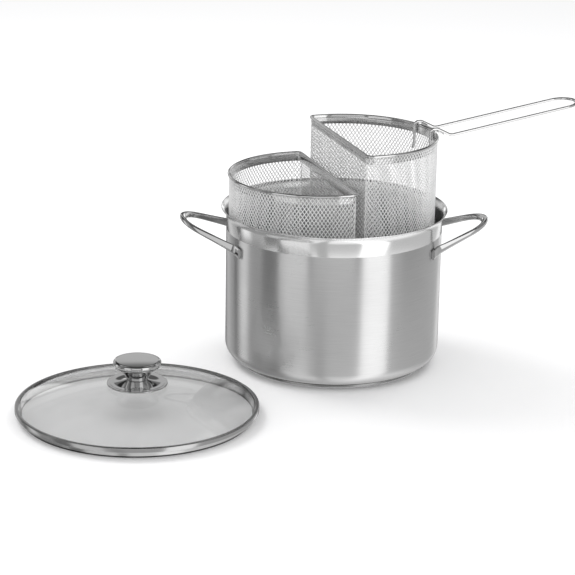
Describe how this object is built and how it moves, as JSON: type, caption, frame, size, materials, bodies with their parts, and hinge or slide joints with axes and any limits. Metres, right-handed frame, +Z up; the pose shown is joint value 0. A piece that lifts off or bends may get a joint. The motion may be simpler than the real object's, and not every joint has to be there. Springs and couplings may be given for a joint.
{
  "type": "pasta pot",
  "caption": "Tall round steel pot with side handles, two half-round net baskets lifted out of it, a clip-on wire handle, and a domed glass lid lying beside it.",
  "frame": {"origin": "middle of the pot's foot, on the table", "axes": "+X along the two side handles towards the right one, +Y to the back, +Z up"},
  "size_m": [0.6226, 0.4399, 0.277],
  "materials": {
    "pot_steel": "brushed round the wall with a polished band under the lip",
    "base_steel": "satin",
    "aluminium_core": "plain, hidden",
    "mirror_steel": "mirror polished",
    "knob_steel": "polished with a brushed top",
    "screw_steel": "plain",
    "lid_glass": "clear and polished",
    "silicone": "clear silicone",
    "basket_steel": "rolled and polished",
    "net_steel": "expanded steel net, satin",
    "wire_steel": "polished wire"
  },
  "bodies": {
    "pot": {"pot_shell": "pot_steel", "base_cap": "base_steel", "base_core": "aluminium_core", "left_handle": "mirror_steel", "right_handle": "mirror_steel"},
    "lid": {"lid_ring": "mirror_steel", "lid_glass": "lid_glass", "knob_seal": "silicone", "knob_base": "knob_steel", "knob_head": "knob_steel", "knob_washer": "silicone", "knob_screw": "screw_steel"},
    "left_basket": {"left_basket_rim": "basket_steel", "left_basket_bottom_rim": "basket_steel", "left_basket_floor_net": "net_steel", "left_basket_flat_net": "net_steel", "left_basket_round_net": "net_steel", "left_basket_front_seam": "basket_steel", "left_basket_rear_seam": "basket_steel"},
    "right_basket": {"right_basket_rim": "basket_steel", "right_basket_bottom_rim": "basket_steel", "right_basket_floor_net": "net_steel", "right_basket_flat_net": "net_steel", "right_basket_round_net": "net_steel", "right_basket_front_seam": "basket_steel", "right_basket_rear_seam": "basket_steel"},
    "basket_handle": {"basket_handle_wire": "wire_steel", "basket_handle_bridge": "wire_steel"}
  },
  "joints": [
    {"name": "lid_lift", "type": "slide", "parent": "pot", "child": "lid", "axis": [0, 0, 1], "range_m": [0, 0.25]},
    {"name": "left_basket_lift", "type": "slide", "parent": "pot", "child": "left_basket", "axis": [0, 0, 1], "range_m": [-0.041, 0.12]},
    {"name": "right_basket_lift", "type": "slide", "parent": "pot", "child": "right_basket", "axis": [0, 0, 1], "range_m": [-0.076, 0.08]},
    {"name": "basket_handle_lift", "type": "slide", "parent": "right_basket", "child": "basket_handle", "axis": [0, 0, 1], "range_m": [0, 0.06]}
  ]
}
